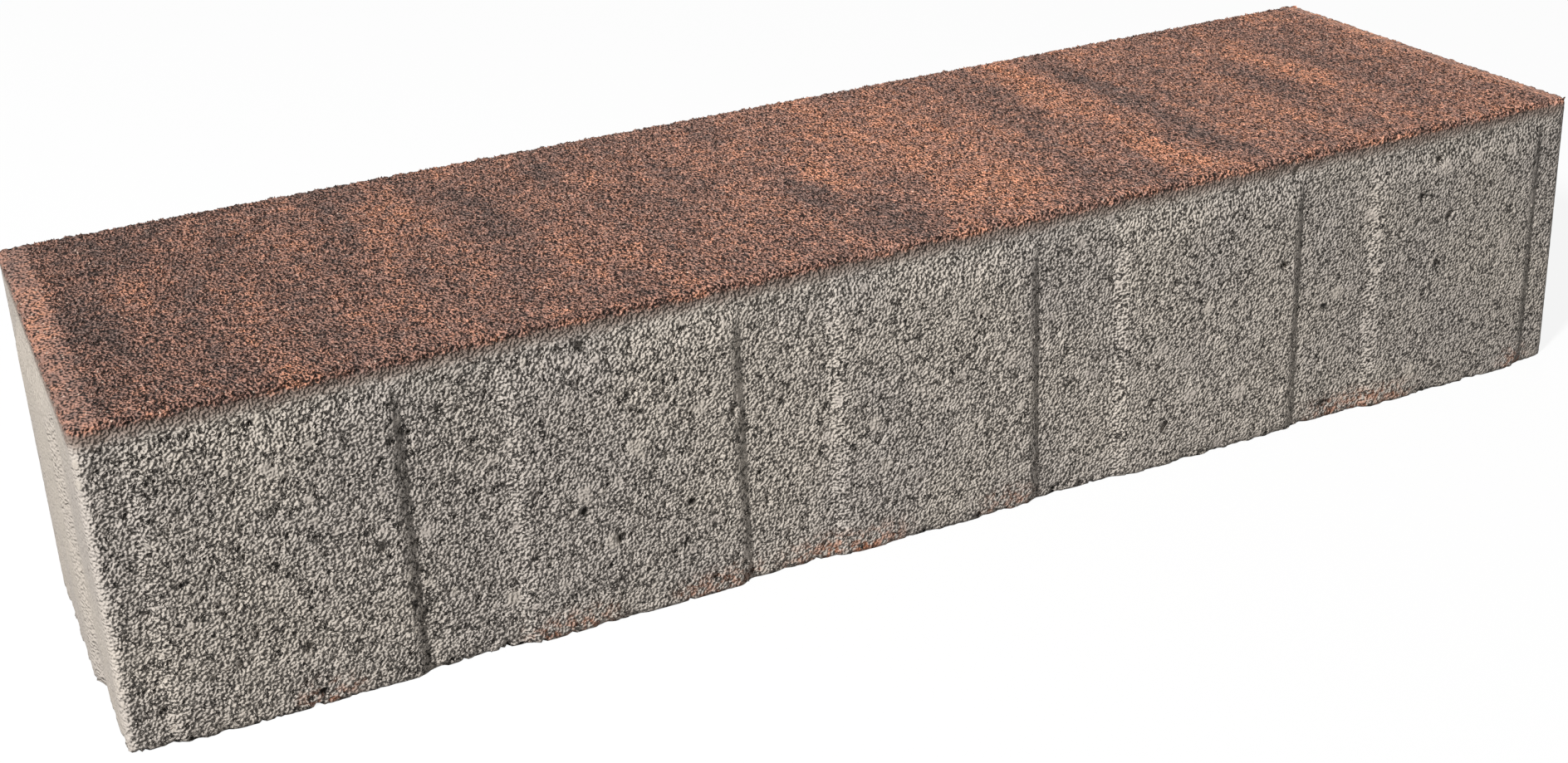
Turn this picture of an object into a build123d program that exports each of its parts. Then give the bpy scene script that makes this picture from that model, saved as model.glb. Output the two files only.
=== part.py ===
from build123d import *
import os

# Concrete edging kerb: one pressed block with spacer pads on its four upright sides.
# Millimetres, X along the stone, Y across it, Z up, origin at the middle of the bed.

# Overall size, measured over the spacer pads
length = 500.0
width = 150.0
height = 97.0

# Spacer pads: shallow raised panels that keep the joint to the next stone open
pad_relief = 2.0  # how far a pad stands out of the side
pad_face = 64.0  # flat width of a pad
pad_flank = 4.0  # width of the slanted flank at either side of a pad
pad_pitch = 100.0  # from the middle of one pad to the middle of the next
pad_setdown = 8.5  # plain band between the top of the stone and the pads
pad_lead_in = 8.0  # height over which the top of a pad slants out

# Edges
corner_radius = 4.0  # upright corners, seen from above
end_bevel_run = 9.0  # bevel pressed across each end of the top face
end_bevel_drop = 1.2
arris_radius = 1.5  # worn edge all round the top

# Sizes that follow
body_length = length - 2 * pad_relief
body_width = width - 2 * pad_relief
pad_foot = pad_face + 2 * pad_flank
pad_top = height - pad_setdown

# The upright sides, each seen from outside with its local Y pointing up
front = Plane(origin=(0, -body_width / 2, 0), x_dir=(1, 0, 0), z_dir=(0, -1, 0))
back = Plane(origin=(0, body_width / 2, 0), x_dir=(-1, 0, 0), z_dir=(0, 1, 0))
right_end = Plane(origin=(body_length / 2, 0, 0), x_dir=(0, 1, 0), z_dir=(1, 0, 0))
left_end = Plane(origin=(-body_length / 2, 0, 0), x_dir=(0, -1, 0), z_dir=(-1, 0, 0))

with BuildPart() as kerb:
    # Seen from above: a rectangle with rounded corners
    with BuildSketch():
        RectangleRounded(body_length, body_width, corner_radius)
    extrude(amount=height)

    # Cross section: a flat bed, upright sides and two worn top edges
    with BuildSketch(Plane.YZ) as cross_section:
        Rectangle(body_width, height, align=(Align.CENTER, Align.MIN))
        fillet(cross_section.vertices().group_by(Axis.Y)[-1], radius=arris_radius)
    extrude(amount=length, both=True, mode=Mode.INTERSECT)

    # Long section: a shallow bevel at either end of the top, with the end edges worn as well
    with BuildSketch(Plane.XZ) as long_section:
        with BuildLine():
            Polyline(
                (0, 0),
                (body_length / 2, 0),
                (body_length / 2, height - end_bevel_drop),
                (body_length / 2 - end_bevel_run, height),
                (0, height),
            )
            mirror(about=Plane.YZ)
        make_face()
        left_points, *_, right_points = long_section.vertices().group_by(Axis.X)
        end_edges = [points.sort_by(Axis.Y)[-1] for points in (left_points, right_points)]
        fillet(end_edges, radius=arris_radius)
    extrude(amount=width, both=True, mode=Mode.INTERSECT)

    # Spacer pads, evenly pitched about the middle of each side, running down to the bed
    for side, span in ((front, length), (back, length), (right_end, width), (left_end, width)):
        pad_count = int((span - pad_foot) // pad_pitch) + 1
        for step in range(pad_count):
            along = (step - (pad_count - 1) / 2) * pad_pitch
            with BuildSketch(side):
                with Locations((along, 0)):
                    Rectangle(pad_foot, pad_top, align=(Align.CENTER, Align.MIN))
            with BuildSketch(side.offset(pad_relief)):
                with Locations((along, 0)):
                    Rectangle(pad_face, pad_top - pad_lead_in, align=(Align.CENTER, Align.MIN))
            loft()

kerb.part.label = "kerb"
os.makedirs("parts", exist_ok=True)
export_step(kerb.part, "parts/kerb.step")
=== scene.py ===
import math
import bpy
from mathutils import Euler, Matrix, Vector
from mathutils.bvhtree import BVHTree


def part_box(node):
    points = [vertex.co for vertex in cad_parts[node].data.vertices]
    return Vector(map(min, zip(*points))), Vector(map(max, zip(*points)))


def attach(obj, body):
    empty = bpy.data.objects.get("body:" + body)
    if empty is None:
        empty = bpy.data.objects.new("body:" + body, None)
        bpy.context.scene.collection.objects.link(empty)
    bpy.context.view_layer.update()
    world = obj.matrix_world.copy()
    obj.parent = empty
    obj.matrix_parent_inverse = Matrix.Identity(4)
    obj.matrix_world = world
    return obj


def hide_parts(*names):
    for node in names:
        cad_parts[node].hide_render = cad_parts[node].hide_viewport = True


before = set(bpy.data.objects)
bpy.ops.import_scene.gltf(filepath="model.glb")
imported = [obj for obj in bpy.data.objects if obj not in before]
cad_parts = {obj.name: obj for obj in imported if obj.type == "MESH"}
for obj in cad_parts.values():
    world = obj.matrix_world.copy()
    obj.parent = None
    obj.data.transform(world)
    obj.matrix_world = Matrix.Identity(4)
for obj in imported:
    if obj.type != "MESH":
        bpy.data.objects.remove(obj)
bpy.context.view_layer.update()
mm = 0.001
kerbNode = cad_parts["kerb"]
kerbLow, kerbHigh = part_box("kerb")
print("frame loaded, kerb", [round(side / mm, 1) for side in kerbHigh - kerbLow], "mm")


# Node helpers, good for geometry and shader trees alike
def feed(tree, socket, given):
    if isinstance(given, bpy.types.NodeSocket):
        tree.links.new(given, socket)
    else:
        socket.default_value = given


def put(tree, kind, ins=(), **settings):
    node = tree.nodes.new(kind)
    for name, value in settings.items():
        setattr(node, name, value)
    pairs = ins.items() if isinstance(ins, dict) else enumerate(ins)
    for key, given in pairs:
        feed(tree, node.inputs[key], given)
    return node


def maths(tree, operation, *ins, clamp=False):
    return put(tree, "ShaderNodeMath", ins, operation=operation, use_clamp=clamp).outputs[0]


def vectors(tree, operation, *ins):
    return put(tree, "ShaderNodeVectorMath", ins, operation=operation).outputs[0]


def stretched(tree, vector, factor):
    return put(tree, "ShaderNodeVectorMath", {0: vector, "Scale": factor}, operation="SCALE").outputs[0]


def axes(tree, vector):
    return put(tree, "ShaderNodeSeparateXYZ", (vector,)).outputs


def ramped(tree, value, low, high, toLow=0.0, toHigh=1.0, smooth=True):
    kind = "SMOOTHSTEP" if smooth else "LINEAR"
    ins = {"Value": value, "From Min": low, "From Max": high, "To Min": toLow, "To Max": toHigh}
    return put(tree, "ShaderNodeMapRange", ins, interpolation_type=kind, clamp=True).outputs["Result"]


def perMetre(tree, size):  # texture scale for a size in mm, given as a number or a socket
    if isinstance(size, bpy.types.NodeSocket):
        return maths(tree, "DIVIDE", 1 / mm, size)
    return 1 / (size * mm)


def noise(tree, place, size, detail=2.0, roughness=0.5):
    ins = {"Vector": place, "Scale": perMetre(tree, size), "Detail": detail, "Roughness": roughness}
    return put(tree, "ShaderNodeTexNoise", ins).outputs


def cells(tree, place, size):
    ins = {"Vector": place, "Scale": perMetre(tree, size)}
    return put(tree, "ShaderNodeTexVoronoi", ins).outputs


askew = (0.61, 0.83, 0.47)  # radians about x, y and z
middle = 0.5  # of a noise, which runs from 0 to 1
toneSpan = (0.1, 0.9)  # the part of a tone that counts


def turned(tree, place):  # the place turned askew, so that no face lies along the grid of a texture
    ins = {"Vector": place, "Rotation": askew}
    return put(tree, "ShaderNodeVectorRotate", ins, rotation_type="EULER_XYZ").outputs[0]


def jolted(tree, place, size, amount):  # the place pushed about by noise, so that edges come out uneven
    push = vectors(tree, "SUBTRACT", noise(tree, place, size)["Color"], (0.5, 0.5, 0.5))
    return vectors(tree, "ADD", place, stretched(tree, push, amount * mm))


def blended(tree, factor, first, second):
    return put(tree, "ShaderNodeMix", {0: factor, 6: first, 7: second}, data_type="RGBA").outputs[2]


def total(tree, *fields):
    result = fields[0]
    for field in fields[1:]:
        result = maths(tree, "ADD", result, field)
    return result


def product(tree, *fields):
    result = fields[0]
    for field in fields[1:]:
        result = maths(tree, "MULTIPLY", result, field)
    return result


def paint(red, green, blue):  # a colour written as 0 to 255, as the shader wants it
    def linear(part):
        part = part / 255
        return part / 12.92 if part <= 0.04045 else ((part + 0.055) / 1.055) ** 2.4
    return (linear(red), linear(green), linear(blue), 1.0)


def inMetres(low, high):  # both ends of a stretch given in mm
    return low * mm, high * mm


# Camera, from the photo's viewing angle
cameraView = dict(
    place=(-279.6, -574.3, 321.6),  # mm from the middle of the bed
    heading=24.66,  # degrees from +Y towards +X
    downward=22.62,
    lean=-2.76,
    focal=2520.0,  # in pixels of the photo
    photoSize=(1888, 919),
    opticalCentre=(944, 346),
)


def setCamera(view):
    wide, high = view["photoSize"]
    centreX, centreY = view["opticalCentre"]
    data = bpy.data.cameras.new("photoCamera")
    data.sensor_width = 36.0
    data.lens = view["focal"] / wide * data.sensor_width
    data.shift_x = (wide / 2 - centreX) / wide
    data.shift_y = (centreY - high / 2) / wide
    data.clip_start = 0.01
    data.clip_end = 100.0
    camera = bpy.data.objects.new("photoCamera", data)
    bpy.context.scene.collection.objects.link(camera)
    aim = Euler((math.radians(90 - view["downward"]), 0, math.radians(-view["heading"])), "XYZ").to_matrix()
    turn = aim @ Matrix.Rotation(math.radians(view["lean"]), 3, "Z")
    camera.matrix_world = Matrix.Translation(Vector(view["place"]) * mm) @ turn.to_4x4()
    bpy.context.scene.camera = camera


setCamera(cameraView)
print("camera set")


# Studio: a soft key lamp from the left, a weak one behind, pale surroundings, white floor
studio = dict(
    keyFrom=(-0.70, -0.41, 0.58),  # direction from the stone to the lamp
    keyDistance=4.0,
    keySize=0.45,
    keyStrength=1.45,  # light on a face square to the lamp
    backFrom=(0.62, 0.78, 0.1),  # a weaker lamp low behind, for the sides turned away
    backSize=2.0,
    backStrength=0.32,
    fill=0.22,  # light of the surroundings
    floorBounce=0.36,  # how much light the floor throws back
    floorPaper=0.9,  # how pale it is where the camera sees it
    floorWhite=0.88,  # share of plain white that the camera sees on the floor
    floorSize=14.0,
)


def addLamp(name, comesFrom, distance, size, strength):
    data = bpy.data.lights.new(name, "AREA")
    data.shape = "DISK"
    data.size = size
    data.energy = strength * math.pi ** 2 * distance ** 2  # a disk gives energy / pi per area and angle
    lamp = bpy.data.objects.new(name, data)
    bpy.context.scene.collection.objects.link(lamp)
    toLamp = Vector(comesFrom).normalized()
    lamp.location = toLamp * distance
    lamp.rotation_mode = "QUATERNION"
    lamp.rotation_quaternion = toLamp.to_track_quat("Z", "Y")


def setStudio(look):
    scene = bpy.context.scene
    scene.view_settings.view_transform = "Standard"
    distance = look["keyDistance"]
    addLamp("keyLamp", look["keyFrom"], distance, look["keySize"], look["keyStrength"])
    addLamp("backLamp", look["backFrom"], distance, look["backSize"], look["backStrength"])

    world = bpy.data.worlds.new("surroundings")
    scene.world = world
    world.use_nodes = True
    tree = world.node_tree
    tree.nodes.clear()
    seen = lightSeen(tree)
    strength = ramped(tree, seen, 0.0, 1.0, look["fill"], 1.0, smooth=False)
    sky = put(tree, "ShaderNodeBackground", {"Color": (1.0, 1.0, 1.0, 1.0), "Strength": strength})
    put(tree, "ShaderNodeOutputWorld", {"Surface": sky.outputs[0]})

    half = look["floorSize"] / 2
    mesh = bpy.data.meshes.new("floor")
    corners = [(-half, -half, 0), (half, -half, 0), (half, half, 0), (-half, half, 0)]
    mesh.from_pydata(corners, [], [(0, 1, 2, 3)])
    floor = bpy.data.objects.new("floor", mesh)
    scene.collection.objects.link(floor)
    material = bpy.data.materials.new("floorPaper")
    material.use_nodes = True
    tree = material.node_tree
    tree.nodes.clear()
    bounce = look["floorBounce"]
    matt = put(tree, "ShaderNodeBsdfDiffuse", {"Color": (bounce, bounce, bounce, 1.0)})
    paper = look["floorPaper"]
    lit = put(tree, "ShaderNodeBsdfDiffuse", {"Color": (paper, paper, paper, 1.0)})
    white = put(tree, "ShaderNodeEmission", {"Color": (1.0, 1.0, 1.0, 1.0), "Strength": 1.0})
    shown = put(tree, "ShaderNodeMixShader", (look["floorWhite"], lit.outputs[0], white.outputs[0]))
    mixed = put(tree, "ShaderNodeMixShader", (lightSeen(tree), matt.outputs[0], shown.outputs[0]))
    put(tree, "ShaderNodeOutputMaterial", {"Surface": mixed.outputs[0]})
    mesh.materials.append(material)


def lightSeen(tree):  # 1 for what the camera sees, straight or mirrored
    path = put(tree, "ShaderNodeLightPath")
    direct = path.outputs["Is Camera Ray"]
    mirrored = maths(tree, "MAXIMUM", path.outputs["Is Glossy Ray"], path.outputs["Is Transmission Ray"])
    return maths(tree, "MAXIMUM", direct, mirrored)


setStudio(studio)
print("studio lit")


# Surface of the stone as the CAD frame gives it
kerbShell = BVHTree.FromPolygons(
    [vertex.co for vertex in kerbNode.data.vertices],
    [tuple(face.vertices) for face in kerbNode.data.polygons],
)
reach = 50 * mm  # how far outside the stone a line starts


def cast(start, direction):  # where a line from outside meets the stone
    return kerbShell.ray_cast(start, direction)[0]


midHeight = (kerbLow.z + kerbHigh.z) / 2
besidePad = 50 * mm  # the middle of a plain stretch of the long side
nearCorner = 55 * mm  # a plain stretch of the end
halfWidth = -cast(Vector((besidePad, -1, midHeight)), Vector((0, 1, 0))).y
halfLength = -cast(Vector((-1, nearCorner, midHeight)), Vector((1, 0, 0))).x
topHeight = kerbHigh.z
cornerRadius = 4 * mm
leftEnd = kerbLow.x
rightEnd = kerbHigh.x


def planOutline(step):  # points and outward directions round the plan, anticlockwise
    points = []
    for side in range(4):
        turn = math.radians(90 * side - 90)
        outward = Vector((math.cos(turn), math.sin(turn), 0))
        along = Vector((-math.sin(turn), math.cos(turn), 0))
        offset, run = (halfWidth, halfLength) if side % 2 == 0 else (halfLength, halfWidth)
        run = run - cornerRadius
        count = round(2 * run / step)
        for index in range(count):
            points.append((outward * offset + along * (2 * run * index / count - run), outward))
        centre = outward * (offset - cornerRadius) + along * run
        arcCount = max(4, round(cornerRadius * math.pi / 2 / step))
        for index in range(arcCount):
            angle = turn + math.pi / 2 * index / arcCount
            direction = Vector((math.cos(angle), math.sin(angle), 0))
            points.append((centre + direction * cornerRadius, direction))
    return points


def meshObject(name, vertices, faces):
    mesh = bpy.data.meshes.new(name)
    mesh.from_pydata(vertices, [], faces)
    mesh.validate()
    mesh.update()
    piece = bpy.data.objects.new(name, mesh)
    bpy.context.scene.collection.objects.link(piece)
    return piece


def ringFaces(first, second, count):  # quads between two rings of vertices
    faces = []
    for index in range(count):
        following = (index + 1) % count
        faces.append((first + index, first + following, second + following, second + index))
    return faces


def geometryTree(name, sizes):
    tree = bpy.data.node_groups.new(name, "GeometryNodeTree")
    tree.interface.new_socket("Geometry", in_out="INPUT", socket_type="NodeSocketGeometry")
    for label, value in sizes.items():
        kind = "NodeSocketInt" if isinstance(value, int) else "NodeSocketFloat"
        socket = tree.interface.new_socket(label, in_out="INPUT", socket_type=kind)
        socket.default_value = value
    tree.interface.new_socket("Geometry", in_out="OUTPUT", socket_type="NodeSocketGeometry")
    return tree, put(tree, "NodeGroupInput").outputs


def closeTree(tree, geometry, material):  # every tree ends in realized instances and its material
    real = put(tree, "GeometryNodeRealizeInstances", {"Geometry": geometry})
    dressed = put(tree, "GeometryNodeSetMaterial", {"Geometry": real.outputs[0], "Material": material})
    put(tree, "NodeGroupOutput", {"Geometry": dressed.outputs[0]})


def applyTree(piece, tree, sizes, smooth=True):
    modifier = piece.modifiers.new(tree.name, "NODES")
    modifier.node_group = tree
    for socket in tree.interface.items_tree:
        if socket.in_out == "INPUT" and socket.name in sizes:
            modifier[socket.identifier] = sizes[socket.name]
    graph = bpy.context.evaluated_depsgraph_get()
    shaped = piece.evaluated_get(graph)
    made = bpy.data.meshes.new_from_object(shaped, preserve_all_data_layers=True, depsgraph=graph)
    piece.modifiers.remove(modifier)
    old = piece.data
    piece.data = made
    bpy.data.meshes.remove(old)
    made.name = piece.name
    rounded = [smooth and len(face.vertices) == 4 for face in made.polygons]
    made.polygons.foreach_set("use_smooth", rounded)
    triangles = sum(len(face.vertices) - 2 for face in made.polygons)
    print(piece.name, "has", triangles, "triangles")
    return piece


def kept(tree, geometry, name, value, domain="POINT"):  # store a field for the material
    ins = {"Geometry": geometry, "Name": name, "Value": value}
    return put(tree, "GeometryNodeStoreNamedAttribute", ins, data_type="FLOAT", domain=domain).outputs[0]


def seededPlace(tree, spot, seed):
    return vectors(tree, "ADD", spot, put(tree, "ShaderNodeCombineXYZ", (seed, seed, seed)).outputs[0])


def pushedIn(tree, geometry, start, direction, depth):  # depth in mm, against the outward direction
    moved = vectors(tree, "ADD", start, stretched(tree, direction, maths(tree, "MULTIPLY", depth, -mm)))
    inside = vectors(tree, "MAXIMUM", vectors(tree, "MINIMUM", moved, tuple(kerbHigh)), tuple(kerbLow))
    return put(tree, "GeometryNodeSetPosition", {"Geometry": geometry, "Position": inside}).outputs[0]


def randomly(tree, low, high, seed):
    kind = "FLOAT_VECTOR" if isinstance(low, tuple) else "FLOAT"
    node = put(tree, "FunctionNodeRandomValue", data_type=kind)
    sockets = [socket for socket in node.inputs if socket.enabled]
    for socket, given in zip(sockets, (low, high)):
        socket.default_value = given
    node.inputs["Seed"].default_value = seed
    return next(socket for socket in node.outputs if socket.enabled)


def finishPiece(piece, *nodes):
    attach(piece, "root")
    if nodes:
        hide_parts(*nodes)


def concreteShader(name):
    material = bpy.data.materials.new(name)
    material.use_nodes = True
    tree = material.node_tree
    tree.nodes.clear()
    place = put(tree, "ShaderNodeTexCoord").outputs["Object"]
    return material, tree, place


concreteFinish = {"Roughness": 0.92, "Specular IOR Level": 0.25}


def closeShader(tree, colour, relief):  # relief in mm
    bump = put(tree, "ShaderNodeBump", {"Height": relief, "Distance": mm, "Strength": 1.0})
    ins = {"Base Color": colour, "Normal": bump.outputs[0], **concreteFinish}
    shader = put(tree, "ShaderNodeBsdfPrincipled", ins)
    put(tree, "ShaderNodeOutputMaterial", {"Surface": shader.outputs[0]})


def attribute(tree, name):
    return put(tree, "ShaderNodeAttribute", attribute_name=name).outputs["Fac"]


# Sand grains that stand out of a surface: rough tetrahedra, of size 1 until they are scaled
sandGrain = dict(
    cone={"Vertices": 3, "Radius Top": 0.0, "Radius Bottom": 0.58, "Depth": 0.83},
    centred=(0.0, 0.0, -0.21),
    apart=0.6,  # least distance, as a share of the spacing
    scale=(0.6, 1.3),
    narrow=(0.6, 0.6, 0.6),
    wide=(1.2, 1.2, 1.2),
    unturned=(0.0, 0.0, 0.0),
    turned=(6.28, 6.28, 6.28),  # any way round
    bent=(1.3, 1.0),  # size and amount of their unevenness, mm
    scaleSeed=3,
    turnSeed=5,
    widthSeed=7,
    toneSeed=11,
)


def crumbTree(name, sizes, material, chosen, half):
    tree, given = geometryTree(name, sizes)
    spacing = maths(tree, "MULTIPLY", given["Spacing"], mm)
    spot = put(tree, "GeometryNodeInputPosition").outputs[0]
    inHalf = maths(tree, "GREATER_THAN", product(tree, axes(tree, spot)[0], half), 0.0)
    ins = {
        "Mesh": given["Geometry"],
        "Selection": product(tree, chosen(tree), inHalf),
        "Density Max": maths(tree, "DIVIDE", 1.0, maths(tree, "MULTIPLY", spacing, spacing)),
        "Distance Min": maths(tree, "MULTIPLY", spacing, sandGrain["apart"]),
        "Seed": given["Seed"],
    }
    spread = put(tree, "GeometryNodeDistributePointsOnFaces", ins, distribute_method="POISSON")
    scale = randomly(tree, *sandGrain["scale"], sandGrain["scaleSeed"])
    size = maths(tree, "MULTIPLY", scale, maths(tree, "MULTIPLY", given["Crumb size"], mm))
    width = randomly(tree, sandGrain["narrow"], sandGrain["wide"], sandGrain["widthSeed"])
    sunk = pushedIn(tree, spread.outputs["Points"], spot, spread.outputs["Normal"], given["Sink"])
    cone = put(tree, "GeometryNodeMeshCone", sandGrain["cone"]).outputs["Mesh"]
    ins = {"Geometry": cone, "Translation": sandGrain["centred"]}
    shape = put(tree, "GeometryNodeTransform", ins).outputs["Geometry"]
    ins = {
        "Points": sunk,
        "Instance": shape,
        "Rotation": randomly(tree, sandGrain["unturned"], sandGrain["turned"], sandGrain["turnSeed"]),
        "Scale": stretched(tree, width, size),
    }
    crumbs = put(tree, "GeometryNodeInstanceOnPoints", ins).outputs[0]
    crumbs = kept(tree, crumbs, "tone", randomly(tree, 0.0, 1.0, sandGrain["toneSeed"]), domain="INSTANCE")
    crumbs = put(tree, "GeometryNodeRealizeInstances", {"Geometry": crumbs}).outputs[0]
    bent = jolted(tree, spot, *sandGrain["bent"])
    closeTree(tree, pushedIn(tree, crumbs, bent, (0.0, 0.0, 0.0), 0.0), material)
    return tree


def scatterCrumbs(name, surface, sizes, material, chosen):  # one piece for either half of the length
    for half, side in ((-1.0, "_left"), (1.0, "_right")):
        piece = bpy.data.objects.new(name + side, surface.data.copy())
        bpy.context.scene.collection.objects.link(piece)
        applyTree(piece, crumbTree(name + side, sizes, material, chosen, half), sizes, False)
        finishPiece(piece)


def spots(tree, cell, share, inner, outer):  # round spots in a share of the cells
    picked = maths(tree, "LESS_THAN", axes(tree, cell["Color"])[0], share)
    return product(tree, picked, ramped(tree, cell["Distance"], inner, outer, 1.0, 0.0))


def without(tree, field, share=1.0):  # what is left where a field is not
    return maths(tree, "SUBTRACT", 1.0, product(tree, field, share))


strokeCore = 0.35  # share of a stroke's half size that has its full strength
strokeEdge = 1.35  # share at which it has faded out


def strokesField(tree, place, strokes):
    field = 0.0
    for x, y, halfWide, halfLong, strength in strokes:
        away = vectors(tree, "SUBTRACT", place, (x * mm, y * mm, 0.0))
        away = vectors(tree, "MULTIPLY", away, (1 / (halfWide * mm), 1 / (halfLong * mm), 0.0))
        distance = put(tree, "ShaderNodeVectorMath", (away,), operation="LENGTH").outputs["Value"]
        stroke = ramped(tree, distance, strokeCore, strokeEdge, strength, 0.0)
        field = maths(tree, "MAXIMUM", field, stroke)
    return field


# Grey body mix: upright sides and bed
bodyMix = dict(
    step=1.0,  # mm between mesh points along a side
    rise=1.35,  # mm between mesh points up a side
    top=91.5,  # runs up inside the facing
    bedRim=5.0,
    wear=0.7,  # power that rounds the pad edges
    relief={
        "Grit size": 0.84, "Grit depth": 0.32, "Crack size": 2.6, "Stone size": 9.0, "Pebble size": 4.8,
        "Pit size": 2.2, "Pit depth": 1.2, "Void size": 15.0, "Void depth": 2.4, "Chip depth": 1.4,
        "Setback": 0.35, "Seed": 4.0,
    },
    crumbs={"Spacing": 3.0, "Crumb size": 1.0, "Sink": 0.15, "Seed": 21},
    uneven=(2.5, 2.6),  # size and amount of the push on stones and voids, mm
    endCalm=(4.0, 1.0),  # mm from the end, where the surface turns calm
    trowelled=(6.0, 9.0),  # mm below the top, where the smooth band ends
    waver=(6.0, 4.0),  # size and height of the waves of its lower edge, mm
    closing=0.06,  # how far the surface closes up to the right, and where it is calm
    patchSize=6.0,  # mm, of more and less open stretches
    patchShare=(0.32, 0.60, 0.9, 1.1),
    stones=(0.14, 0.2, 0.38),  # share of the cells, inner and outer reach
    stoneCalm=0.7,  # share of the grit that is missing on stones
    gritCalm=0.6,  # and where the surface is calm
    voids=(0.4, 0.05, 0.13),
    crackWidth=(0.012, 0.035),
    crackPlaces=(0.46, 0.52),
    pitPlaces=(0.62, 0.65),
    fewerPits=0.06,  # pits thin out to the right
    fewestFrom=100,  # mm right of the middle
    calmPits=0.1,
    cavity=(0.33, 0.39),
    chipSize=9.0,  # mm
    chipPlaces=(0.42, 0.70),
    chipHeight=4.5,  # mm above the bed
    bump=dict(grit=2.8, crack=-0.4, stone=0.2),  # mm
    skin=(paint(189, 180, 171), paint(199, 189, 177)),
    cloudSize=45,  # mm
    clouds=(0.35, 0.65),
    stone=(paint(156, 147, 141), paint(172, 163, 151)),
    stoneShare=0.5,
    # near black painted into pits, voids, cracks and the lows of the grit: painted shade where light does
    # not reach
    hollowShade=paint(30, 25, 21),
    hollowShadeShare=0.95,
    cavityShadeShare=0.85,
    grainTone=(0.84, 1.16),
    leftShade=(0.9, 1.0),  # from the left end to the middle
    rightShade=-0.12,
    rightFrom=50,  # mm right of the middle
    # the end faces painted darker: painted shade, as the key lamp lights the left end square
    endPaintedShade=0.82,
    endFrom=(1.5, 0.5),  # mm from the end
    rust=paint(184, 122, 90),
    rustShare=0.8,
    rustHeight=(0.5, 11.0),  # mm above the bed
    rustUneven=(8, 10.0),  # size and amount, mm
    speckleSize=2.5,  # mm
    speckles=(0.42, 0.60),
    steepest=0.9,  # a face whose normal rises or falls more is bed or lid
    barest=0.3,  # grains lie where less than this is stone, pit or calm
)
# Rust that crept up from the bed: middle x, half length (mm), strength
bedStains = (
    (-193, 9, 0.6), (-121, 14, 0.7), (-75, 14, 0.6), (-33, 20, 1.0),
    (25, 10, 0.6), (163, 22, 0.8), (232, 7, 0.6),
)


def wallMesh(look):  # the sides as the CAD surface gives them, closed by a bed and a lid
    outline = planOutline(look["step"] * mm)
    count = len(outline)
    rows = round(look["top"] / look["rise"])
    lowest = 0.02 * mm  # the first ring is cast just above the bed
    flattest = 0.01 * mm
    vertices = []
    faces = []
    for row in range(rows + 1):
        height = look["top"] * mm * row / rows
        level = Vector((0, 0, max(height, lowest)))
        proud = []
        for point, outward in outline:
            hit = cast(point + outward * reach + level, -outward)
            proud.append((hit - point).dot(outward))
        face = max(max(proud), flattest)
        for share, (point, outward) in zip(proud, outline):
            worn = face * max(share / face, 0) ** look["wear"]
            vertices.append(point + outward * worn + Vector((0, 0, height)))
        if row:
            faces += ringFaces((row - 1) * count, row * count, count)
    faces.append(tuple(range(rows * count, (rows + 1) * count)))
    rim = len(vertices)
    for index, (_, outward) in enumerate(outline):
        vertices.append(vertices[index] - outward * look["bedRim"] * mm)
    faces += ringFaces(rim, 0, count)
    faces.append(tuple(range(rim + count - 1, rim - 1, -1)))
    return vertices, faces


def calmField(tree, spot, place, look):  # the ends and the trowelled band under the top
    x, _, z = axes(tree, spot)
    calmFrom, calmTo = inMetres(*look["endCalm"])
    atEnd = ramped(tree, maths(tree, "ABSOLUTE", x), halfLength - calmFrom, halfLength - calmTo)
    drop = maths(tree, "SUBTRACT", topHeight, z)
    waveSize, waveHeight = look["waver"]
    wavering = product(tree, noise(tree, place, waveSize)["Fac"], waveHeight * mm)
    trowelled = ramped(tree, total(tree, drop, wavering), *inMetres(*look["trowelled"]), 1.0, 0.0)
    return maths(tree, "MAXIMUM", atEnd, trowelled)


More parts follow.
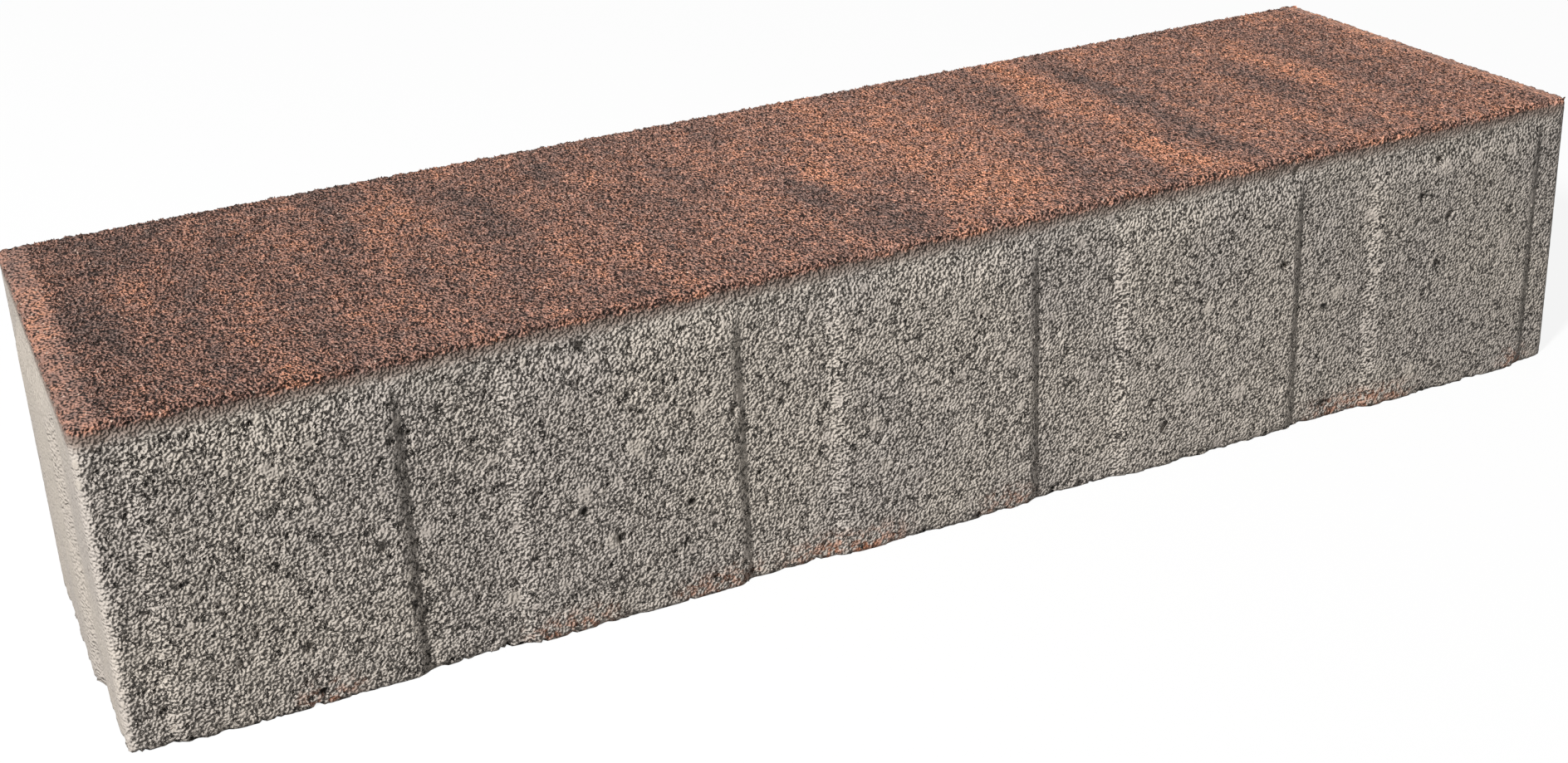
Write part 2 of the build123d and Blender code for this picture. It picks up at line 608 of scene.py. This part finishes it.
def wallFields(tree, spot, sizes):  # what the grey surface is made of, for its relief and for its colour
    look = bodyMix
    place = turned(tree, seededPlace(tree, spot, sizes["Seed"]))
    bent = jolted(tree, place, *look["uneven"])
    x = axes(tree, spot)[0]
    calm = calmField(tree, spot, place, look)
    plain = without(tree, calm)
    closed = ramped(tree, x, leftEnd, rightEnd, 0.0, look["closing"], smooth=False)
    closed = total(tree, closed, product(tree, calm, look["closing"]))
    big = cells(tree, bent, sizes["Stone size"])
    small = cells(tree, bent, sizes["Pebble size"])
    stone = maths(tree, "MAXIMUM", spots(tree, big, *look["stones"]), spots(tree, small, *look["stones"]))
    patch = maths(tree, "SUBTRACT", noise(tree, place, look["patchSize"])["Fac"], closed)
    rough = ramped(tree, patch, *look["patchShare"])
    onStone = without(tree, stone, look["stoneCalm"])
    rough = product(tree, rough, onStone, without(tree, calm, look["gritCalm"]))
    grit = maths(tree, "SUBTRACT", noise(tree, place, sizes["Grit size"], detail=0.0)["Fac"], middle)
    grit = total(tree, product(tree, grit, rough), middle)
    winding = axes(tree, noise(tree, place, sizes["Crack size"])["Color"])
    crack = maths(tree, "ABSOLUTE", maths(tree, "SUBTRACT", winding[0], middle))
    crack = ramped(tree, crack, *look["crackWidth"], 1.0, 0.0)
    split = ramped(tree, maths(tree, "SUBTRACT", winding[1], closed), *look["crackPlaces"])
    fewer = ramped(tree, x, leftEnd, look["fewestFrom"] * mm, 0.0, look["fewerPits"], smooth=False)
    fewer = total(tree, fewer, product(tree, calm, look["calmPits"]))
    pitted = noise(tree, place, sizes["Pit size"], roughness=0.6)["Fac"]
    hole = spots(tree, cells(tree, bent, sizes["Void size"]), *look["voids"])
    return {
        "calm": calm,
        "stone": stone,
        "stoneTone": axes(tree, big["Color"])[2],
        "grit": grit,
        "cavity": ramped(tree, grit, *look["cavity"], 1.0, 0.0),
        "crack": product(tree, crack, split, without(tree, stone), plain),
        "pit": ramped(tree, maths(tree, "SUBTRACT", pitted, fewer), *look["pitPlaces"]),
        "void": product(tree, hole, plain),
    }


def wallDepth(tree, spot, given):
    look = bodyMix
    fields = wallFields(tree, spot, given)
    ragged = noise(tree, spot, look["chipSize"], detail=3.0, roughness=0.65)["Fac"]
    chip = ramped(tree, ragged, *look["chipPlaces"])
    low = ramped(tree, axes(tree, spot)[2], 0.0, look["chipHeight"] * mm, 1.0, 0.0)
    chip = product(tree, chip, low, given["Chip depth"])
    grit = product(tree, without(tree, fields["grit"]), given["Grit depth"])
    pit = product(tree, fields["pit"], given["Pit depth"])
    hole = product(tree, fields["void"], given["Void depth"])
    return fields, total(tree, given["Setback"], grit, pit, hole, chip)


def bodyRelief(material, sizes):
    tree, given = geometryTree("bodyRelief", sizes)
    spot = put(tree, "GeometryNodeInputPosition").outputs[0]
    normal = put(tree, "GeometryNodeInputNormal").outputs[0]
    level = vectors(tree, "MULTIPLY", normal, (1.0, 1.0, 0.0))  # the bed stays flat
    sideways = vectors(tree, "NORMALIZE", level)
    fields, depth = wallDepth(tree, spot, given)
    bare = total(tree, fields["stone"], fields["pit"], fields["void"], fields["calm"])
    geometry = kept(tree, given["Geometry"], "bare", bare)  # no crumbs on flat stones and in pits
    closeTree(tree, pushedIn(tree, geometry, spot, sideways, depth), material)
    return tree


def bodyCrumbsHere(tree):
    normal = axes(tree, put(tree, "GeometryNodeInputNormal").outputs[0])[2]
    upright = maths(tree, "LESS_THAN", maths(tree, "ABSOLUTE", normal), bodyMix["steepest"])
    stored = put(tree, "GeometryNodeInputNamedAttribute", {"Name": "bare"}, data_type="FLOAT")
    return product(tree, upright, maths(tree, "LESS_THAN", stored.outputs["Attribute"], bodyMix["barest"]))


def rustField(tree, place, look):  # rust speckles above the bed
    endless = 1000  # mm, so that only the place along the stone counts
    lengthways = [(x, 0, long, endless, much) for x, long, much in bedStains]
    stain = strokesField(tree, jolted(tree, place, *look["rustUneven"]), lengthways)
    spotty = noise(tree, place, look["speckleSize"], detail=3.0, roughness=0.6)["Fac"]
    speckle = ramped(tree, spotty, *look["speckles"])
    low = ramped(tree, axes(tree, place)[2], *inMetres(*look["rustHeight"]), 1.0, 0.0)
    return product(tree, stain, speckle, low, look["rustShare"])


def wallShade(tree, place, look):  # slow changes of brightness along the stone, and painted shade on the end faces
    x = axes(tree, place)[0]
    left = ramped(tree, x, leftEnd, 0.0, *look["leftShade"], smooth=False)
    right = ramped(tree, x, look["rightFrom"] * mm, rightEnd, 0.0, look["rightShade"])
    endFrom, endTo = inMetres(*look["endFrom"])
    fromMiddle = maths(tree, "ABSOLUTE", x)
    atEnd = ramped(tree, fromMiddle, halfLength - endFrom, halfLength - endTo, 1.0, look["endPaintedShade"])
    return product(tree, total(tree, left, right), atEnd)


def wallLook(tree, place, look, crumbs):
    fields = wallFields(tree, place, look["relief"])
    cloud = noise(tree, place, look["cloudSize"], detail=3.0)["Fac"]
    colour = blended(tree, ramped(tree, cloud, *look["clouds"]), *look["skin"])
    if crumbs:
        tone = ramped(tree, attribute(tree, "tone"), *toneSpan, *look["grainTone"], smooth=False)
        colour = vectors(tree, "MULTIPLY", colour, tone)
    colour = vectors(tree, "MULTIPLY", colour, wallShade(tree, place, look))
    stoneColour = blended(tree, fields["stoneTone"], *look["stone"])
    colour = blended(tree, product(tree, fields["stone"], look["stoneShare"]), colour, stoneColour)
    relief = total(tree, *[product(tree, fields[name], height) for name, height in look["bump"].items()])
    # painted shade: near black in cracks, and on the skin also in pits, voids and the lows of the grit
    dark = fields["crack"]
    if not crumbs:
        hollowShade = maths(tree, "MAXIMUM", fields["pit"], fields["void"])
        gaps = product(tree, fields["cavity"], look["cavityShadeShare"])
        dark = maths(tree, "MAXIMUM", maths(tree, "MAXIMUM", hollowShade, dark), gaps)
    colour = blended(tree, product(tree, dark, look["hollowShadeShare"]), colour, look["hollowShade"])
    return blended(tree, rustField(tree, place, look), colour, look["rust"]), relief


def edgeDepth(tree, place):  # how far below the top, with the wavering of the facing's edge
    drop = maths(tree, "SUBTRACT", topHeight, axes(tree, place)[2])
    waveSize, waveHeight = facingMix["waver"]
    wavering = noise(tree, place, waveSize, detail=3.0)["Fac"]
    return total(tree, drop, product(tree, wavering, waveHeight * mm))


# Coloured facing mix: top face, its arris and the band under it
facingMix = dict(
    step=1.0,  # mm between mesh points
    depth=8.0,  # how far it reaches down the sides
    tuck=1.8,  # how far its foot turns in under the grey mix
    tuckFrom=(6.8, 8.0),  # mm below the top
    untucked=-0.05,  # mm, stands just proud of the grey mix above that
    endBand=9.0,  # smoother pressed band across each end
    bandEdge=(-1.5, 0.5),  # mm, over which it begins
    bandCalm=0.4,  # share of the sand that is missing there
    bandSetback=0.6,  # share of the setback that is missing there
    waver=(5, 3.0),  # size and height of the waves of the lower edge, mm
    grainsTo=3.0,  # mm below the top
    lowestNormal=-0.5,  # no grains on faces that look further down
    relief={"Sand size": 0.78, "Sand depth": 0.5},
    crumbs={"Spacing": 0.765, "Crumb size": 0.95, "Sink": 0.1, "Seed": 33},
    raked=(1.0, 0.75, 1.0),  # sand drawn out a little across the stone
    rim=(0.5, 3.0),  # mm from the edge, where it is lumpy
    lumpSize=1.8,  # mm
    lumps=(0.4, 0.62, 0.0, 0.9),  # the last is their height in mm
    side=(2.0, 5.0),  # mm below the top, where the grey relief takes over
    uneven=((16, 14.0), (5, 7.0)),  # size and amount of the strokes' ragged edges, mm
    streaked=(1.0, 0.28, 1.0),
    streakSize=14,  # mm
    streaks=(0.3, 0.7, 0.25, 0.75),
    rustPigment=0.36,
    darkPigment=-0.34,
    pigmentAlong=(-0.14, 0.02),  # from the left end to the place below
    pigmentTo=100,  # mm right of the middle
    # the end bands pushed towards rust: painted light, as they tilt towards the key lamp and have fewer
    # small shadows
    bandLight=0.1,
    patchSize=4,  # mm
    patches=(0.3, 0.7, -0.22, 0.22),
    grainSize=0.8,  # mm
    grains=(0.0, 1.0, -0.15, 0.15),
    dark=paint(112, 92, 85),
    brown=paint(154, 116, 101),
    rust=paint(194, 137, 108),
    # near black painted into the lows of the sand, between the grains: painted shade
    gapShade=paint(24, 18, 16),
    gapPlaces=(0.38, 0.47),
    gapShadeShare=0.95,
    grainGapShadeShare=0.7,
    leftShade=(1.14, 1.52),  # from the left end to the middle
    tone=(0.6, 1.4),
    speck=paint(222, 196, 178),
    speckSize=1.7,  # mm
    specks=(0.2, 0.16, 0.25),  # share of the cells, inner and outer reach
    speckShare=0.75,
    bump=3.0,  # mm
    foot=paint(132, 116, 106),  # smooth band under the edge
    footFrom=(3.4, 5.2),  # mm below the top
    greyFrom=(5.0, 9.5),
)
# Pigment laid down in strokes across the stone: middle x and y, half width, half length (mm), strength
darkStrokes = (
    (-232, -20, 9, 62, 0.5), (-216, 48, 12, 22, 0.7), (-150, 40, 4, 36, 0.6), (-110, 25, 8, 32, 0.8),
    (-80, 46, 4, 13, 0.7), (-51, 20, 11, 40, 0.55), (-21, 51, 7, 18, 0.6), (-13, -21, 8, 19, 0.9),
    (-2, -50, 14, 21, 1.0), (82, 25, 11, 30, 0.8), (75, -54, 14, 19, 0.7), (123, 0, 7, 80, 1.0),
    (171, 8, 8, 37, 0.75), (170, -59, 8, 12, 0.7), (210, 0, 9, 80, 0.45),
)
rustStrokes = (
    (-191, 58, 8, 10, 0.6), (-159, -34, 6, 10, 0.6), (-191, -67, 8, 6, 0.7), (-133, 25, 12, 34, 0.6),
    (-2, -7, 8, 18, 1.0), (30, 15, 32, 44, 0.6), (36, -48, 24, 28, 0.6), (103, 28, 12, 36, 0.8),
    (99, -50, 10, 26, 0.9), (191, 9, 8, 34, 0.6),
)


def endBand(tree, place, look):
    fromEnd = maths(tree, "SUBTRACT", halfLength, maths(tree, "ABSOLUTE", axes(tree, place)[0]))
    inner, outer = look["bandEdge"]
    return ramped(tree, fromEnd, *inMetres(look["endBand"] + inner, look["endBand"] + outer), 1.0, 0.0)


def sandField(tree, place, sizes, band):
    raked = turned(tree, vectors(tree, "MULTIPLY", place, facingMix["raked"]))
    sand = maths(tree, "SUBTRACT", noise(tree, raked, sizes["Sand size"], detail=0.0)["Fac"], middle)
    return total(tree, product(tree, sand, without(tree, band, facingMix["bandCalm"])), middle)


def topLook(tree, place, look, crumbs):
    sand = sandField(tree, place, look["relief"], endBand(tree, place, look))
    patch = ramped(tree, noise(tree, place, look["patchSize"], detail=3.0)["Fac"], *look["patches"])
    grain = axes(tree, cells(tree, place, look["grainSize"])["Color"])[1]
    mixed = ramped(tree, grain, *look["grains"], smooth=False)
    pigmentAndLight = total(tree, attribute(tree, "pigmentAndLight"), patch, mixed)
    colour = blended(tree, ramped(tree, pigmentAndLight, 0.0, middle, smooth=False), look["dark"], look["brown"])
    colour = blended(tree, ramped(tree, pigmentAndLight, middle, 1.0, smooth=False), colour, look["rust"])
    shade = ramped(tree, axes(tree, place)[0], leftEnd, 0.0, *look["leftShade"], smooth=False)
    # on the skin the tone follows the height of the sand, lows darker and highs lighter: painted shade and
    # light; on the grains it is their own random tone
    tone = attribute(tree, "tone") if crumbs else sand
    tone = ramped(tree, tone, *toneSpan, *look["tone"], smooth=False)
    colour = vectors(tree, "MULTIPLY", vectors(tree, "MULTIPLY", colour, shade), tone)
    gapShadeShare = look["grainGapShadeShare"] if crumbs else look["gapShadeShare"]
    # painted shade between the grains, in the lows of the sand
    gapShade = ramped(tree, sand, *look["gapPlaces"], 1.0, 0.0)
    colour = blended(tree, product(tree, gapShade, gapShadeShare), colour, look["gapShade"])
    speck = spots(tree, cells(tree, place, look["speckSize"]), *look["specks"])
    colour = blended(tree, product(tree, speck, look["speckShare"]), colour, look["speck"])
    return colour, product(tree, sand, look["bump"])


def concreteMaterial(name, crumbs):
    material, tree, place = concreteShader(name)
    wallColour, wallRelief = wallLook(tree, place, bodyMix, crumbs)
    topColour, topRelief = topLook(tree, place, facingMix, crumbs)
    edge = edgeDepth(tree, place)
    grey = ramped(tree, edge, *inMetres(*facingMix["greyFrom"]))
    foot = ramped(tree, edge, *inMetres(*facingMix["footFrom"]))
    colour = blended(tree, foot, topColour, facingMix["foot"])
    colour = blended(tree, grey, colour, wallColour)
    relief = total(tree, product(tree, wallRelief, grey), product(tree, topRelief, without(tree, grey)))
    closeShader(tree, colour, relief)
    return material


skinMaterial = concreteMaterial("concreteSkin", False)
crumbMaterial = concreteMaterial("concreteCrumbs", True)


def buildBody(look):
    vertices, faces = wallMesh(look)
    body = meshObject("kerb_body", vertices, faces)
    applyTree(body, bodyRelief(skinMaterial, look["relief"]), look["relief"])
    finishPiece(body, "kerb")
    scatterCrumbs("body_crumbs", body, look["crumbs"], crumbMaterial, bodyCrumbsHere)


buildBody(bodyMix)
print("body made")


def roundedPlan(x, y):  # a point of a plain rectangle moved inside the rounded corners
    cornerX = halfLength - cornerRadius
    cornerY = halfWidth - cornerRadius
    u = (abs(x) - cornerX) / cornerRadius
    v = (abs(y) - cornerY) / cornerRadius
    if u <= 0 or v <= 0:
        return x, y
    newX = cornerX + cornerRadius * u * math.sqrt(1 - v * v / 2)
    newY = cornerY + cornerRadius * v * math.sqrt(1 - u * u / 2)
    return math.copysign(newX, x), math.copysign(newY, y)


def rimDirection(x, y):  # outward direction in plan at a point of the rim
    cornerX = max(abs(x) - (halfLength - cornerRadius), 0)
    cornerY = max(abs(y) - (halfWidth - cornerRadius), 0)
    return Vector((math.copysign(cornerX, x), math.copysign(cornerY, y), 0)).normalized()


def nearest(point):
    return kerbShell.find_nearest(point)[0]


def facingMesh(look):
    step = look["step"] * mm
    countX = round(2 * halfLength / step)
    countY = round(2 * halfWidth / step)
    above = 2 * mm  # points start outside the stone and go to the nearest place on it
    vertices = []
    for row in range(countY + 1):
        across = halfWidth * (2 * row / countY - 1)
        for column in range(countX + 1):
            x, y = roundedPlan(halfLength * (2 * column / countX - 1), across)
            start = Vector((x, y, topHeight + above))
            if row in (0, countY) or column in (0, countX):
                start = Vector((x, y, topHeight + mm)) + rimDirection(x, y) * mm
            vertices.append(nearest(start))
    wide = countX + 1
    faces = []
    for row in range(countY):
        for column in range(countX):
            first = row * wide + column
            faces.append((first, first + 1, first + 1 + wide, first + wide))
    rim = list(range(countX))
    rim += [row * wide + countX for row in range(countY)]
    rim += [countY * wide + column for column in range(countX, 0, -1)]
    rim += [row * wide for row in range(countY, 0, -1)]
    rows = round(look["depth"] / look["step"])
    ring = rim
    for row in range(1, rows + 1):
        below = len(vertices)
        drop = look["depth"] * mm * row / rows
        for index in rim:
            outward = rimDirection(vertices[index].x, vertices[index].y)
            level = Vector((vertices[index].x, vertices[index].y, topHeight - drop))
            vertices.append(nearest(level + outward * above))
        lower = list(range(below, below + len(rim)))
        for index in range(len(rim)):
            following = (index + 1) % len(rim)
            faces.append((ring[following], ring[index], lower[index], lower[following]))
        ring = lower
    faces.append(tuple(reversed(ring)))
    return vertices, faces


def topDepth(tree, spot, given, look, band):  # sand, the set back field and the lumpy rim, in mm
    x, y, _ = axes(tree, spot)
    sand = product(tree, without(tree, sandField(tree, spot, given, band)), given["Sand depth"])
    setback = product(tree, given["Setback"], without(tree, band, look["bandSetback"]))
    fromSide = maths(tree, "SUBTRACT", halfWidth, maths(tree, "ABSOLUTE", y))
    fromEnd = maths(tree, "SUBTRACT", halfLength, maths(tree, "ABSOLUTE", x))
    fromEdge = maths(tree, "MINIMUM", fromSide, fromEnd)
    rim = ramped(tree, fromEdge, *inMetres(*look["rim"]), 1.0, 0.0)
    lumps = ramped(tree, noise(tree, spot, look["lumpSize"], detail=1.0)["Fac"], *look["lumps"])
    return total(tree, sand, setback, product(tree, rim, lumps))


def pigmentAndLightField(tree, spot, look, band):  # 0 dark, 0.5 brown, 1 rust, with painted light on the end bands
    wide, fine = look["uneven"]
    uneven = jolted(tree, jolted(tree, spot, *wide), *fine)
    drawnOut = vectors(tree, "MULTIPLY", spot, look["streaked"])
    streak = noise(tree, drawnOut, look["streakSize"], detail=3.0, roughness=0.6)["Fac"]
    farthest = look["pigmentTo"] * mm
    along = ramped(tree, axes(tree, spot)[0], leftEnd, farthest, *look["pigmentAlong"], smooth=False)
    return total(
        tree,
        ramped(tree, streak, *look["streaks"], smooth=False),
        product(tree, strokesField(tree, uneven, rustStrokes), look["rustPigment"]),
        product(tree, strokesField(tree, uneven, darkStrokes), look["darkPigment"]),
        along,
        product(tree, band, look["bandLight"]),
    )


def facingRelief(material, look):
    sizes = {**bodyMix["relief"], **look["relief"]}
    tree, given = geometryTree("facingRelief", sizes)
    spot = put(tree, "GeometryNodeInputPosition").outputs[0]
    normal = put(tree, "GeometryNodeInputNormal").outputs[0]
    band = endBand(tree, spot, look)
    drop = maths(tree, "SUBTRACT", topHeight, axes(tree, spot)[2])
    side = ramped(tree, drop, *inMetres(*look["side"]))
    tuck = ramped(tree, drop, *inMetres(*look["tuckFrom"]), look["untucked"], look["tuck"], smooth=False)
    wall = total(tree, wallDepth(tree, spot, given)[1], tuck)
    top = topDepth(tree, spot, given, look, band)
    depth = total(tree, product(tree, top, without(tree, side)), product(tree, wall, side))
    geometry = kept(tree, given["Geometry"], "pigmentAndLight", pigmentAndLightField(tree, spot, look, band))
    closeTree(tree, pushedIn(tree, geometry, spot, normal, depth), material)
    return tree, sizes


def facingCrumbsHere(tree):
    x, _, z = axes(tree, put(tree, "GeometryNodeInputPosition").outputs[0])
    onTop = maths(tree, "GREATER_THAN", z, topHeight - facingMix["grainsTo"] * mm)
    fieldEnd = halfLength - facingMix["endBand"] * mm
    inField = maths(tree, "LESS_THAN", maths(tree, "ABSOLUTE", x), fieldEnd)
    normal = axes(tree, put(tree, "GeometryNodeInputNormal").outputs[0])[2]
    facingOut = maths(tree, "GREATER_THAN", normal, facingMix["lowestNormal"])
    return product(tree, onTop, inField, facingOut)


def buildFacing(look):
    vertices, faces = facingMesh(look)
    facing = meshObject("kerb_facing", vertices, faces)
    tree, sizes = facingRelief(skinMaterial, look)
    applyTree(facing, tree, sizes)
    finishPiece(facing, "kerb")
    scatterCrumbs("facing_crumbs", facing, look["crumbs"], crumbMaterial, facingCrumbsHere)


buildFacing(facingMix)
print("facing made")
